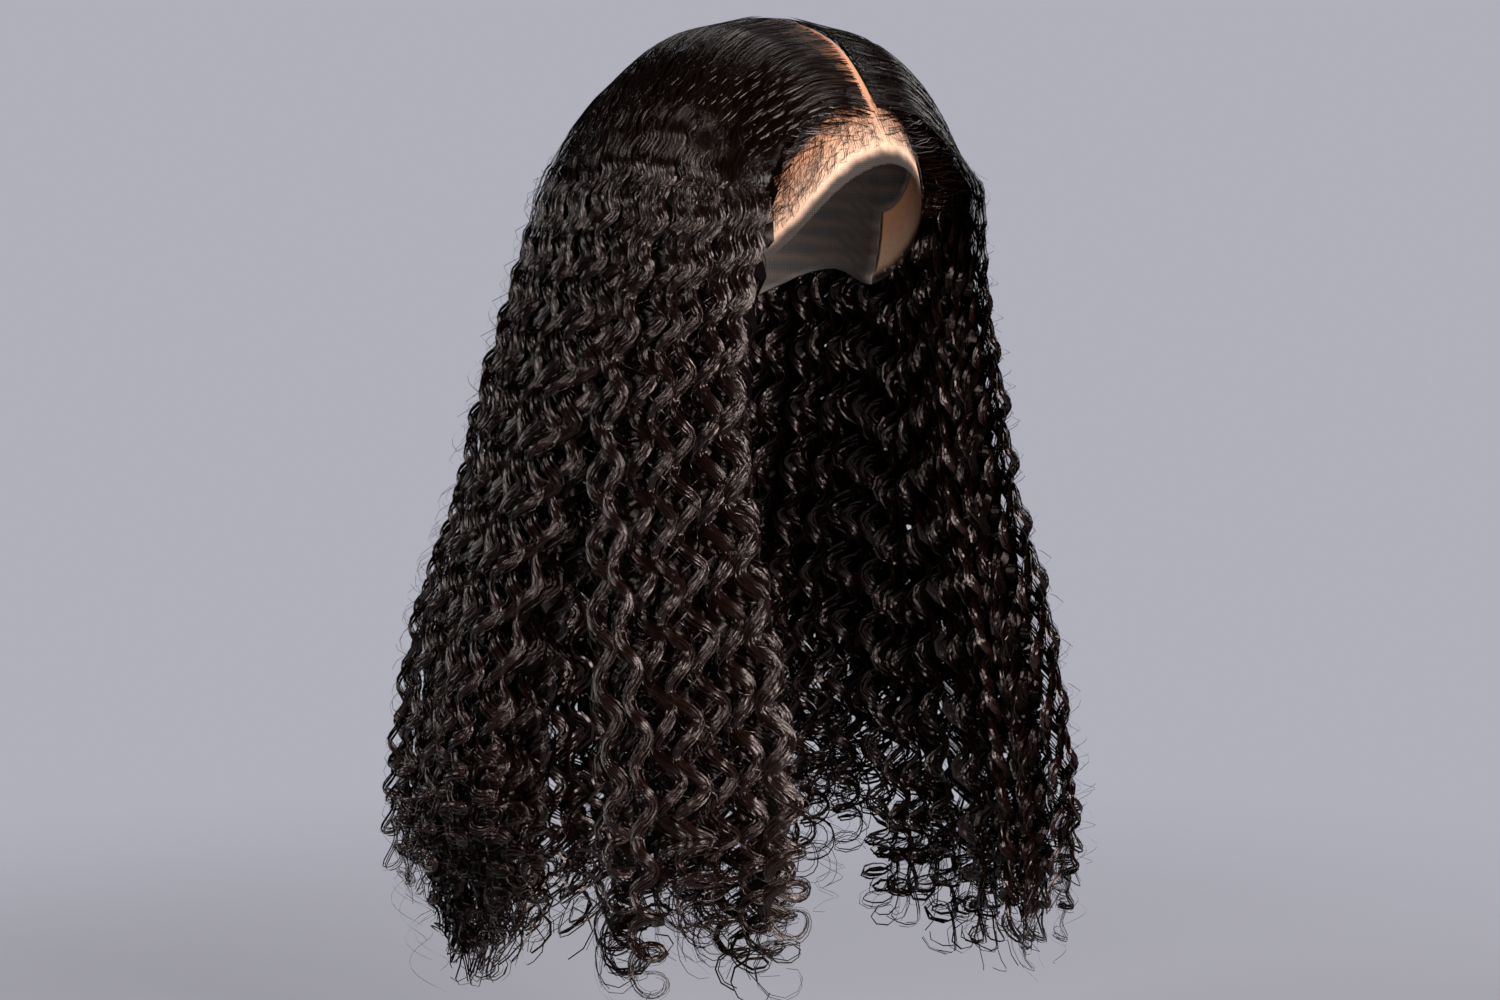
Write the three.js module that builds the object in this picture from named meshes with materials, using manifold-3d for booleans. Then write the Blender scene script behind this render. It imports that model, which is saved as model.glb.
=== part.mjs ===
// A curly lace-front wig: a sheer lace front with a centre parting strip, a weft cap behind it,
// and four panels of curly hair, each a bed over the cap that runs out into hanging locks.
// Millimetres, +Z up. The origin is the crown seat, where the top of the head meets the cap.
// The face opening looks along -Y, and the wearer's right hand side is -X.
import * as THREE from 'three';
import { mergeVertices } from 'three/addons/utils/BufferGeometryUtils.js';
import Module from 'manifold-3d';

const wasm = await Module();
wasm.setup();

// The head that the cap fits, as half sizes of an ellipsoid whose top is the crown seat.
const HEAD = { width: 77, length: 98, height: 105 };
const CAP_WALL = 1.6;
const LACE_WALL = 1.0;
const SEAM_GAP = 0.3;
const BED_CLEARANCE = 0.4;
const BED_ROOT = 4;

// The cap's rim, half way round: angle from the front in degrees, height below the crown. The first
// row lies past the front, so that the rim is level there.
const RIM = [
  { angle: -25, z: -88 },
  { angle: 0, z: -76 },
  { angle: 25, z: -88 },
  { angle: 52, z: -127 },
  { angle: 75, z: -148 },
  { angle: 100, z: -140 },
  { angle: 140, z: -162 },
  { angle: 180, z: -168 },
];
const RIM_COLUMNS = 28;
const RIM_ROWS = 8;
// The smallest ring of the dome, at the crown, as a share of the way down to the rim.
const CROWN_RING = 0.06;

// The lace front: a band along the hairline, and the strip under the parting.
const LACE_BAND = { reach: 76, depth: 26, pastRim: 14, columns: 24 };
const PARTING = { halfWidth: 7, back: 58 };
const LACE_CUT = 30;

// The hair on the head: where it grows beside the parting, from the hairline back to the angle
// of the turn, how far aside it grows, less at the nape's angles, how far back it is swept along the
// hairline and over how many degrees, how thick it lies, and where it leaves the head.
const GROWTH = {
  front: -80, back: 52, turn: 112, aside: 2.2, napeAngles: 30, napeShare: 0.4, sweep: 0.25, sweptAngles: 45,
};
const LEAVING_Z = -92;
const HAIR_LIFT = { parting: 8, leaving: 44, hairline: 22, fullAfter: 34, endShare: 0.55 };
const BED_ROWS = 5;
const RIB = 3.5;

// The hanging hair, section by section: outer half width and half depth, how far the middle
// lies behind the head's middle, and how thick the curtain of locks is.
const CURTAIN = [
  { z: -92, width: 123, depth: 143, back: 1, thick: 30 },
  { z: -156, width: 138, depth: 150, back: 11, thick: 36 },
  { z: -215, width: 155, depth: 160, back: 17, thick: 42 },
  { z: -273, width: 168, depth: 168, back: 21, thick: 46 },
  { z: -332, width: 187, depth: 186, back: 24, thick: 48 },
  { z: -390, width: 199, depth: 197, back: 24, thick: 50 },
  { z: -449, width: 206, depth: 204, back: 22, thick: 50 },
  { z: -500, width: 204, depth: 200, back: 20, thick: 44 },
  { z: -560, width: 188, depth: 186, back: 18, thick: 26 },
];

// The panels of hair: their reach in degrees from the front, towards the wearer's right, where
// they leave the head and at their ends, the number of locks and the height of their tips.
const PANELS = [
  { name: 'hair_right_front', leaves: [52, 84], ends: [38, 70], locks: 5, tip: -524 },
  { name: 'hair_right_back', leaves: [84, 180], ends: [92, 180], locks: 8, tip: -540 },
  { name: 'hair_left_back', leaves: [180, 276], ends: [180, 264], locks: 8, tip: -520 },
  { name: 'hair_left_front', leaves: [276, 308], ends: [264, 316], locks: 5, tip: -552 },
];
const PANEL_GAP_DEG = 0.7;
// Between these heights a panel swings from the angle where it leaves to the angle of its end.
const SWING = { from: -150, to: -420 };

// One lock: how it starts in the bed, how much of its share it fills, its curls and its tip.
// The section is four corners, as shares of the width and the thickness.
const LOCK = {
  startRow: 0.55, headSteps: 3, thickInBed: 0.9, fillInBed: 0.7, fill: 0.9,
  curl: 6, pitch: 55, ringsPerCurl: 3, drift: 1.1, taper: 70, tipShare: 0.16, stagger: 14,
  section: [[-0.5, -0.1], [0, -0.5], [0.5, -0.1], [0, 0.5]],
};

const LACE_MATERIAL = new THREE.MeshStandardMaterial({ color: 0xd59a72, roughness: 0.8, metalness: 0 });
const CAP_MATERIAL = new THREE.MeshStandardMaterial({ color: 0x1d1715, roughness: 0.85, metalness: 0 });
const HAIR_MATERIAL = new THREE.MeshStandardMaterial({ color: 0x231713, roughness: 0.38, metalness: 0 });

const radians = THREE.MathUtils.degToRad;
const GOLDEN_TURN = Math.PI * (3 - Math.sqrt(5));
const { lerp, clamp, smoothstep } = THREE.MathUtils;

// The value of a table's column at a place along its key column, on smooth cubic pieces.
function along(table, key, column, at) {
  const rising = table[1][key] > table[0][key] ? 1 : -1;
  let i = 0;
  while (i < table.length - 2 && (at - table[i + 1][key]) * rising > 0) i += 1;
  const [a, b] = [table[i], table[i + 1]];
  const before = table[Math.max(i - 1, 0)];
  const after = table[Math.min(i + 2, table.length - 1)];
  const span = b[key] - a[key];
  const t = clamp((at - a[key]) / span, 0, 1);
  const slopeA = ((b[column] - before[column]) / (b[key] - before[key])) * span;
  const slopeB = ((after[column] - a[column]) / (after[key] - a[key])) * span;
  const [t2, t3] = [t * t, t * t * t];
  return (2 * t3 - 3 * t2 + 1) * a[column] + (t3 - 2 * t2 + t) * slopeA
    + (3 * t2 - 2 * t3) * b[column] + (t3 - t2) * slopeB;
}

// Half way round is the same on both sides: the angle from the front, 0 to 180.
const fromFront = (angle) => 180 - Math.abs(180 - (((angle % 360) + 360) % 360));
const rimHeight = (angle) => along(RIM, 'angle', 'z', fromFront(angle));
// How far down the head a height lies, as an angle at the head's middle.
const headTilt = (z) => Math.acos(clamp((z + HEAD.height) / HEAD.height, -1, 1));

// A point of the head at an angle from the front and a tilt from the crown, lifted off the head.
function headPoint(angle, tilt, lift) {
  return new THREE.Vector3(
    -(HEAD.width + lift) * Math.sin(tilt) * Math.sin(radians(angle)),
    -(HEAD.length + lift) * Math.sin(tilt) * Math.cos(radians(angle)),
    (HEAD.height + lift) * Math.cos(tilt) - HEAD.height,
  );
}

// A closed solid from points and triangles, turned inside out where its faces point in.
function solid(points, triangles) {
  const make = (faces) => new wasm.Manifold(new wasm.Mesh({
    numProp: 3,
    vertProperties: new Float32Array(points.flatMap((p) => [p.x, p.y, p.z])),
    triVerts: new Uint32Array(faces.flat()),
  }));
  const made = make(triangles);
  return made.volume() > 0 ? made : make(triangles.map(([a, b, c]) => [a, c, b]));
}

// A solid from a three.js geometry.
function solidOf(geometry) {
  const bare = new THREE.BufferGeometry();
  bare.setAttribute('position', geometry.getAttribute('position'));
  bare.setIndex(geometry.index);
  const merged = mergeVertices(bare);
  return new wasm.Manifold(new wasm.Mesh({
    numProp: 3,
    vertProperties: merged.attributes.position.array,
    triVerts: new Uint32Array(merged.index.array),
  }));
}

// A wall between two sheets of points, sheet[row][column], outer sheet first, closed all round.
function wall(outer, inner) {
  const [rows, columns] = [outer.length, outer[0].length];
  const points = [...outer.flat(), ...inner.flat()];
  const at = (sheet, row, column) => sheet * rows * columns + row * columns + column;
  const triangles = [];
  const quad = (a, b, c, d) => triangles.push([a, b, c], [a, c, d]);
  for (let r = 0; r < rows - 1; r += 1) {
    for (let c = 0; c < columns - 1; c += 1) {
      quad(at(0, r, c), at(0, r + 1, c), at(0, r + 1, c + 1), at(0, r, c + 1));
      quad(at(1, r, c), at(1, r, c + 1), at(1, r + 1, c + 1), at(1, r + 1, c));
    }
    quad(at(0, r, 0), at(1, r, 0), at(1, r + 1, 0), at(0, r + 1, 0));
    quad(at(0, r, columns - 1), at(0, r + 1, columns - 1), at(1, r + 1, columns - 1), at(1, r, columns - 1));
  }
  for (let c = 0; c < columns - 1; c += 1) {
    quad(at(0, 0, c), at(0, 0, c + 1), at(1, 0, c + 1), at(1, 0, c));
    quad(at(0, rows - 1, c), at(1, rows - 1, c), at(1, rows - 1, c + 1), at(0, rows - 1, c + 1));
  }
  return solid(points, triangles);
}

// The rings of the dome from the crown to the rim, lifted off the head.
function domeRings(lift) {
  return Array.from({ length: RIM_ROWS + 1 }, (_, row) => (
    Array.from({ length: RIM_COLUMNS }, (__, column) => {
      const angle = (360 * column) / RIM_COLUMNS;
      return headPoint(angle, headTilt(rimHeight(angle)) * Math.max(row / RIM_ROWS, CROWN_RING), lift);
    })));
}

// The cap's whole dome as a thin wall of the given thickness, from the crown to the rim.
const dome = (thickness) => tube([...domeRings(thickness), ...domeRings(0).reverse()]);

// The filled dome that the hair has to clear: the cap's outside, grown by a lift, with a foot that
// narrows below the rim.
function core(lift) {
  const rings = domeRings(lift);
  const foot = rings[0].map((point) => point.clone().setZ(-2 * HEAD.height));
  return tube([...rings, foot]);
}

// The space that the lace front takes in the dome: the hairline band and the parting strip.
function laceSpace(margin) {
  const bandTop = radians(LACE_BAND.depth) + margin / HEAD.length;
  const reach = LACE_BAND.reach + (margin / HEAD.width) * THREE.MathUtils.RAD2DEG;
  const sheet = (lift) => [0, 1].map((row) => Array.from({ length: LACE_BAND.columns + 1 }, (_, c) => {
    const angle = lerp(-reach, reach, c / LACE_BAND.columns);
    const rim = headTilt(rimHeight(angle));
    return headPoint(angle, row ? rim + radians(LACE_BAND.pastRim) : rim - bandTop, lift);
  }));
  const band = wall(sheet(LACE_CUT), sheet(-LACE_CUT));
  const stripLength = HEAD.length + PARTING.back + margin;
  const strip = new THREE.BoxGeometry(2 * (PARTING.halfWidth + margin), stripLength, HEAD.height);
  strip.translate(0, PARTING.back + margin - stripLength / 2, 0);
  return band.add(solidOf(strip));
}

// Where the hair of an angle grows on the parting, and where it leaves the head, as head directions.
function growth(angle) {
  const turned = clamp((fromFront(angle) - PANELS[0].leaves[0]) / (GROWTH.turn - PANELS[0].leaves[0]), 0, 1);
  const y = lerp(GROWTH.front, GROWTH.back, turned);
  const side = Math.sin(radians(angle)) > 0 ? -1 : 1;
  const fade = clamp((180 - fromFront(angle)) / GROWTH.napeAngles, GROWTH.napeShare, 1);
  const root = new THREE.Vector3((side * GROWTH.aside * fade) / HEAD.width, y / HEAD.length, 0);
  root.z = Math.sqrt(1 - root.lengthSq());
  const leaving = headPoint(angle, headTilt(LEAVING_Z), 0);
  leaving.set(leaving.x / HEAD.width, leaving.y / HEAD.length, (leaving.z + HEAD.height) / HEAD.height);
  return { root, leaving: leaving.normalize() };
}

// A point of the combed hair: a share of the way from the parting to where it leaves the head.
function combedPoint(angle, share, lift) {
  const { root, leaving } = growth(angle);
  const arc = root.angleTo(leaving);
  const point = root.multiplyScalar(Math.sin((1 - share) * arc) / Math.sin(arc))
    .addScaledVector(leaving, Math.sin(share * arc) / Math.sin(arc));
  const swept = 1 - smoothstep(fromFront(angle) - PANELS[0].leaves[0], 0, GROWTH.sweptAngles);
  point.y += GROWTH.sweep * swept * Math.sin(Math.PI * share);
  point.normalize();
  const outward = new THREE.Vector3(point.x / HEAD.width, point.y / HEAD.length, point.z / HEAD.height).normalize();
  point.multiply(new THREE.Vector3(HEAD.width, HEAD.length, HEAD.height));
  point.z -= HEAD.height;
  return point.addScaledVector(outward, lift);
}

// How high the combed hair stands off the head, thin at the parting and along the hairline.
function combedLift(angle, share) {
  const full = lerp(HAIR_LIFT.parting, HAIR_LIFT.leaving, share);
  const behind = (fromFront(angle) - PANELS[0].leaves[0]) / HAIR_LIFT.fullAfter;
  return lerp(Math.min(HAIR_LIFT.hairline, full), full, lerp(smoothstep(behind, 0, 1), 1, share ** 3));
}

// A point of the hanging hair: its outward place in the curtain from 0, inside, to 1, outside.
function hangingPoint(leaves, ends, z, outward) {
  const angle = radians(lerp(leaves, ends, smoothstep(-z, -SWING.from, -SWING.to)));
  const inset = (1 - outward) * along(CURTAIN, 'z', 'thick', z);
  return new THREE.Vector3(
    -Math.sin(angle) * (along(CURTAIN, 'z', 'width', z) - inset),
    along(CURTAIN, 'z', 'back', z) - Math.cos(angle) * (along(CURTAIN, 'z', 'depth', z) - inset),
    z,
  );
}

// The bed of a panel: hair lying on the head, ribbed where its locks run, from parting to temple.
function hairBed(panel) {
  const columns = 2 * panel.locks;
  const [first, last] = [panel.leaves[0] + PANEL_GAP_DEG, panel.leaves[1] - PANEL_GAP_DEG];
  const sheet = (liftAt) => Array.from({ length: BED_ROWS + 1 }, (_, r) => (
    Array.from({ length: columns + 1 }, (__, c) => {
      const angle = lerp(first, last, c / columns);
      return combedPoint(angle, r / BED_ROWS, liftAt(angle, r / BED_ROWS, c));
    })));
  const sunk = (share) => lerp(1, HAIR_LIFT.endShare, smoothstep(share, LOCK.startRow, 1));
  const outer = sheet((angle, share, c) => combedLift(angle, share) * sunk(share) - (c % 2 ? 0 : RIB * share));
  const inner = sheet(() => -BED_ROOT);
  return wall(outer, inner);
}

// One lock of a panel, from inside the bed to its tip, as rings round a line that coils as it
// hangs. The outermost locks of all panels coil in step, so that panels don't meet.
function lock(panel, index) {
  const angles = (share) => [lerp(...panel.leaves, share), lerp(...panel.ends, share)];
  const edges = [index, index + 1].map((edge) => angles(edge / panel.locks));
  const [leaves, ends] = angles((index + 0.5) / panel.locks);
  const tip = panel.tip + LOCK.stagger * Math.sin(GOLDEN_TURN * (index + 1));
  const drift = LOCK.drift * Math.sin((Math.PI * index) / (panel.locks - 1));
  const line = [];
  for (let i = 0; i < LOCK.headSteps; i += 1) {
    const share = lerp(LOCK.startRow, 1, i / LOCK.headSteps);
    const lift = combedLift(leaves, share);
    const sides = edges.map(([edge]) => combedPoint(edge, share, lift / 2));
    line.push({
      point: combedPoint(leaves, share, lift / 2),
      width: sides[0].distanceTo(sides[1]) * LOCK.fillInBed,
      thick: lift * LOCK.thickInBed,
    });
  }
  const step = LOCK.pitch / LOCK.ringsPerCurl;
  const rows = Math.round((LEAVING_Z - tip) / step);
  const heights = Array.from({ length: rows }, (_, i) => LEAVING_Z - i * step);
  for (const [i, z] of [...heights, tip].entries()) {
    const taper = lerp(LOCK.tipShare, 1, Math.sqrt(clamp((z - tip) / LOCK.taper, 0, 1)));
    const swell = LOCK.curl * smoothstep(LEAVING_Z - z, 0, 2 * LOCK.pitch);
    const turn = (2 * Math.PI * i) / LOCK.ringsPerCurl + drift;
    const point = hangingPoint(leaves, ends, z, 0.5);
    const out = hangingPoint(leaves, ends, z, 1).sub(point).normalize();
    const aside = new THREE.Vector3(0, 0, 1).cross(out);
    const sides = edges.map((edge) => hangingPoint(...edge, z, 0.5));
    point.addScaledVector(out, swell * Math.sin(turn)).addScaledVector(aside, swell * Math.cos(turn));
    line.push({
      point,
      width: sides[0].distanceTo(sides[1]) * LOCK.fill * taper,
      thick: along(CURTAIN, 'z', 'thick', z) * taper,
    });
  }
  const rings = line.map(({ point, width, thick }, i) => {
    const [before, after] = [line[Math.max(i - 1, 0)].point, line[Math.min(i + 1, line.length - 1)].point];
    const way = after.clone().sub(before).normalize();
    const aside = new THREE.Vector3(-point.y, point.x, 0).normalize();
    const out = way.clone().cross(aside).normalize();
    return LOCK.section.map(([across, outward]) => (
      point.clone().addScaledVector(aside, width * across).addScaledVector(out, thick * outward)));
  });
  return tube(rings);
}

// A closed tube through rings of points.
function tube(rings) {
  const sides = rings[0].length;
  const points = rings.flat();
  const at = (ring, k) => ring * sides + (k % sides);
  const triangles = [];
  for (let r = 0; r < rings.length - 1; r += 1) {
    for (let k = 0; k < sides; k += 1) {
      triangles.push([at(r, k), at(r, k + 1), at(r + 1, k + 1)], [at(r, k), at(r + 1, k + 1), at(r + 1, k)]);
    }
  }
  for (let k = 1; k < sides - 1; k += 1) {
    triangles.push([at(0, 0), at(0, k + 1), at(0, k)]);
    triangles.push([at(rings.length - 1, 0), at(rings.length - 1, k), at(rings.length - 1, k + 1)]);
  }
  return solid(points, triangles);
}

// A named mesh of a solid.
function piece(name, made, material) {
  const { vertProperties, triVerts, numProp } = made.getMesh();
  const places = [];
  for (let i = 0; i < vertProperties.length; i += numProp) places.push(...vertProperties.slice(i, i + 3));
  const geometry = new THREE.BufferGeometry();
  geometry.setAttribute('position', new THREE.BufferAttribute(new Float32Array(places), 3));
  geometry.setIndex(new THREE.BufferAttribute(triVerts, 1));
  geometry.computeVertexNormals();
  const mesh = new THREE.Mesh(geometry, material);
  mesh.name = name;
  return mesh;
}

const wig = new THREE.Group();
wig.add(piece('lace_front', dome(LACE_WALL).intersect(laceSpace(0)), LACE_MATERIAL));
wig.add(piece('weft_cap', dome(CAP_WALL).subtract(laceSpace(SEAM_GAP)), CAP_MATERIAL));
const clearance = core(CAP_WALL + BED_CLEARANCE);
for (const panel of PANELS) {
  let hair = hairBed(panel);
  for (let index = 0; index < panel.locks; index += 1) hair = hair.add(lock(panel, index));
  wig.add(piece(panel.name, hair.subtract(clearance), HAIR_MATERIAL));
}

export default wig;
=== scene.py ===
"""Dresses a curly lace-front wig: lace with baby hairs, a weft cap and hair made of curled strands."""

import math

import bmesh
import bpy
import numpy as np
from bpy.props import FloatProperty, FloatVectorProperty, IntProperty, PointerProperty
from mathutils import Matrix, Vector


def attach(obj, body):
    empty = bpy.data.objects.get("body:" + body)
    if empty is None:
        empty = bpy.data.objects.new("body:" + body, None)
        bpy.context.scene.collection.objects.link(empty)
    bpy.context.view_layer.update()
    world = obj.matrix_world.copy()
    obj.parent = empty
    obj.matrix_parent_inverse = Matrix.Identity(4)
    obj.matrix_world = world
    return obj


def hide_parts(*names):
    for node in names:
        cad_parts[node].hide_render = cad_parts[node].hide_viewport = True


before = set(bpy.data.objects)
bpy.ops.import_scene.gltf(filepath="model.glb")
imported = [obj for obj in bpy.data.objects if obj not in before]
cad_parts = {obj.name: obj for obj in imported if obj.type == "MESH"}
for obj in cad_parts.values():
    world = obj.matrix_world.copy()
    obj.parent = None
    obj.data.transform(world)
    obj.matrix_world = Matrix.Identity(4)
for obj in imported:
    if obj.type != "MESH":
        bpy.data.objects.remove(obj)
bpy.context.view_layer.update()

bl_info = {
    "name": "Curly lace-front wig",
    "version": (1, 0, 0),
    "blender": (4, 5, 0),
    "location": "View3D > Sidebar > Wig",
    "description": "Builds the lace, the weft cap and the curled hair of a wig round its solid model",
    "category": "Object",
}

MM = 0.001

# The head that the cap fits, as half sizes of an ellipsoid whose top is the origin.
HEAD_WIDTH, HEAD_LENGTH, HEAD_HEIGHT = 77 * MM, 98 * MM, 105 * MM
HEAD_SIZES = np.array([HEAD_WIDTH, HEAD_LENGTH, HEAD_HEIGHT])
HEAD_CENTRE = np.array([0, 0, -HEAD_HEIGHT])
HEAD_MIDDLE = (HEAD_WIDTH + HEAD_LENGTH) / 2
CAP_WALL = 1.6 * MM
LACE_WALL = 0.7 * MM

# The cap's rim, half way round: degrees from the front, and height. The first row lies past the front,
# so that the rim is level there.
RIM_COLUMNS = ("angle", "z")
RIM = [(-25, -88), (0, -76), (25, -88), (52, -127), (75, -148), (100, -140), (140, -162), (180, -168)]

# The lace band's reach to each side and its depth from the rim, in degrees, and its parting strip.
LACE_REACH, LACE_DEPTH = 76, 26
STRIP_HALF_WIDTH, STRIP_BACK = 7 * MM, 58 * MM
# How near the strip the sheets are cut, and which corners are near enough to a cut to lie on it.
CUT_REACH, CUT_SNAP = 10 * MM, 0.3 * MM
# Columns round the sheets, rows in the lace band and rows above it.
LACE_GRID, CAP_GRID = (200, 18, 60), (80, 12, 80)

# The lace lies just off the head, and along the parting on a low ridge that rises behind the hairline.
LACE_LIFT = 0.15 * MM
RIDGE_HEIGHT, RIDGE_RISES, RIDGE_SIDES = 6.5 * MM, (-86 * MM, -48 * MM), (1 * MM, 8 * MM)

# Where the hair grows beside the parting, which narrows to the back, how far back it is swept along the
# hairline, there less on the left, and where it leaves the head.
GROWTH = {
    "front": -80 * MM, "back": 52 * MM, "turn": 112, "aside": 3.0 * MM, "narrow": 0.25, "narrowing": 1.5,
    "sweep": 0.25, "swept": 45, "left_sweep": 0.5}
GROWTH_FIRST, NAPE_ANGLES, NAPE_SHARE = 52, 30, 0.4
LEAVING_Z = -92 * MM
# How high the hair stands off the head, how it rises on the way down and, along the hairline, how much
# later it does so on each side.
LIFT = {"parting": 8 * MM, "leaving": 44 * MM, "hairline": 6 * MM, "curve": 1.4, "right": 3, "left": 1}
LIFT_FULL_AFTER = 15
# The height that the combed strands aim at, far below their ends.
COMBED_AIM = -530 * MM

# The hanging hair by height: outer half width, half depth, set back and thickness.
CURTAIN_COLUMNS = ("z", "width", "depth", "back", "thick")
CURTAIN = [
    (-92, 123, 143, 1, 30),
    (-156, 138, 150, 11, 36),
    (-215, 155, 160, 17, 42),
    (-273, 168, 168, 21, 46),
    (-332, 187, 186, 24, 48),
    (-390, 199, 197, 24, 50),
    (-449, 206, 204, 22, 50),
    (-500, 204, 200, 20, 44),
    (-560, 188, 186, 18, 26),
]
# How far below the crown the panels swing from where they leave the head to where they end.
SWINGS = (150 * MM, 420 * MM)

# The panels of hair: degrees where they leave the head and at their ends, locks, length of a curl, heights
# of the tips at the panel's two sides, how much shorter the outermost locks are, for a panel with a free
# edge the share of its width where that edge is, and the part of its width that is filled with hair
# painted dark as shade.
PANELS = [
    {"node": "hair_right_front", "leaves": (52, 84), "ends": (38, 70), "locks": 7, "pitch": 38 * MM,
     "tips": (-513 * MM, -513 * MM), "layered": 8 * MM, "edge": 0.04, "filled": (0.06, 0.95)},
    {"node": "hair_right_back", "leaves": (84, 180), "ends": (92, 180), "locks": 18, "pitch": 36 * MM,
     "tips": (-516 * MM, -564 * MM), "layered": 55 * MM, "edge": 0.02, "filled": (0.05, 1.0)},
    {"node": "hair_left_back", "leaves": (180, 276), "ends": (180, 257), "locks": 17, "pitch": 37 * MM,
     "tips": (-560 * MM, -508 * MM), "layered": 42 * MM, "filled": (0.0, 1.0)},
    {"node": "hair_left_front", "leaves": (276, 308), "ends": (257, 316), "locks": 11, "pitch": 37 * MM,
     "tips": (-558 * MM, -538 * MM), "layered": 14 * MM, "edge": 0.96, "filled": (0.0, 0.95)},
]

# The layers of a panel, outside first: place in the thickness, where on the way from the parting the
# hair is sewn on, share of the panel's locks, strands in a lock, loose strands beside them, the strands'
# relative width, the width of the lock in millimetres, steps in a curl, the share of the length that is
# cut off, how light the hair is painted, as painted light and shade for how much light reaches the
# layer, and the mesh it belongs to.
LAYER_COLUMNS = (
    "outward", "sewn", "locks", "strands", "loose", "width", "band", "steps", "cut", "painted_light", "group")
LAYERS = [dict(zip(LAYER_COLUMNS, row)) for row in (
    (0.97, 0.00, 1.00, 14, 3, 0.76, 7, 10.5, 0.00, 1.0, "outer"),
    (0.76, 0.02, 1.00, 10, 2, 0.96, 8, 6.5, 0.00, 0.2, "inner"),
    (0.64, 0.45, 0.90, 5, 0, 5.00, 18, 5, 0.20, 0.0, "inner"),
    (0.50, 0.35, 0.95, 8, 0, 1.50, 10, 5.5, 0.00, 0.2, "inner"),
    (0.36, 0.50, 0.90, 5, 0, 5.00, 18, 5, 0.20, 0.0, "inner"),
    (0.26, 0.55, 0.90, 6, 0, 1.60, 10, 5.5, 0.00, 0.4, "inner"),
    (0.04, 0.75, 0.90, 7, 1, 1.30, 9, 7.5, 0.00, 0.8, "outer"),
)]
# The places in the thickness of the locks along a panel's free edge, and how light they are painted:
# painted light on that edge.
EDGE_PLACES, EDGE_PAINTED_LIGHT = (0.12, 0.3, 0.48, 0.66, 0.84), 0.9
# How far the hair runs over the head, from the parting to where it leaves.
HEAD_RUN = 170 * MM
# The way over the head by which hair from the parting is up to its full lift, where hair that is sewn on
# lower rises all the way to where it leaves, how much lower the inside lies there, and how far off the
# head all hair keeps.
RISEN_BY, SEWN_LOW, INSIDE_LOWER, CLEARANCE = 0.36, 0.3, 0.68, 1.2 * MM

# A lock by its run from the parting: where its waves are drawn out to full length, grow, are curled, gather
# into a band and sway. Then, by the distance to its tip: where they tighten, turn into rings and taper.
DRAWN_OUT, WAVES_GROW, CURLED = (70 * MM, 290 * MM), (30 * MM, 310 * MM), (80 * MM, 220 * MM)
GATHERED, SWAYS = (95 * MM, 230 * MM), (150 * MM, 420 * MM)
TIGHTENED, RINGED, TAPER = (100 * MM, 5 * MM), (75 * MM, 5 * MM), 25 * MM
# How far a wave leans and bulges and how much larger an end ring is, as shares of the curl's radius, how
# high a band's middle is raised, and how far a lock sways.
LEAN, BULGE, RING_GROWTH = 0.3, 0.25, 0.7
BAND_RAISED, SWAY = 2.2 * MM, 6 * MM
# How much closer the waves are on the head and at the tip, and how much finer they are drawn there.
CLOSER_ON_HEAD, CLOSER_AT_TIP, FINER_ON_HEAD, FINER_AT_TIP = 0.9, 1.1, -0.6, 0.5

# The fine hair's waves, as length and height: combed over the head, at the hairline and on the lace, where
# the heights differ by these millimetres.
COMBED_WAVE, HAIRLINE_WAVE, BABY_WAVE = (16 * MM, 2.6 * MM), (13 * MM, 1.6 * MM), (9 * MM, (1.2, 2.0))
# How deep the combed strands sink into the curls, how far below them the hairline's strands are rooted, and
# over which run these bend into them.
COMBED_SINKS, ROOTED_LOWER, HAIRLINE_BEND = 4 * MM, 18 * MM, 48 * MM
# The baby hairs: degrees from the front, and millimetres inside the edge and of length. The flyaway hairs:
# how many there are for each lock, and millimetres of their waves' length and height.
BABY_ANGLES, BABY_INSIDE, BABY_LENGTHS = (3, 66), (14, 46), (14, 34)
FLYAWAYS_A_LOCK, FLYAWAY_WAVES, FLYAWAY_HEIGHTS = 7, (18, 42), (6, 12)
HAIRLINE_WIDTH, BABY_WIDTH, FLYAWAY_WIDTH = 0.5 * MM, 0.25 * MM, 0.3 * MM

# The soft boxes: how far they are towards the camera, to its right and up, in metres, their size and power.
LIGHTS = {
    "key": (1.2, -1.6, 1.4, 0.8, 38),
    "fill": (1.6, 1.5, 0.5, 0.8, 80),
    "crown": (-0.8, 0.1, 2.1, 0.7, 12),
    "rim": (-1.4, 1.5, 0.8, 1.0, 14),
    "front": (2.0, 0.4, -0.2, 0.5, 22),
    "side": (-0.6, -2.0, 0.25, 0.9, 14),
}
ROOM_TINT = (0.62, 0.60, 0.66, 1)
# The camera's film in millimetres, the floor's radius and where the floor fades away, in metres.
FILM_WIDTH, FLOOR_RADIUS, FLOOR_FADES = 36, 4.5, (0.5, 1.6)


class HairSettings(bpy.types.PropertyGroup):
    """The curls and the colour of the hair."""

    pitch: FloatProperty(
        name="Curl length", description="Length of the curls, as a share of the panels' own", default=1.0)
    radius: FloatProperty(
        name="Curl radius", description="Half the width of a curl", default=5.6 * MM, unit="LENGTH")
    strand: FloatProperty(
        name="Strand width", description="Width of one drawn strand", default=1.25 * MM, unit="LENGTH")
    roots: FloatVectorProperty(
        name="Roots", description="Colour near the head", default=(0.0012, 0.0006, 0.0005), subtype="COLOR")
    ends: FloatVectorProperty(
        name="Ends", description="Colour at the ends", default=(0.0092, 0.0029, 0.0018), subtype="COLOR")
    gloss: FloatProperty(
        name="Roughness", description="Roughness of strands", default=0.16, min=0, max=1, subtype="FACTOR")
    seed: IntProperty(name="Seed", description="Start of the strands' random places", default=7)


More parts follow.
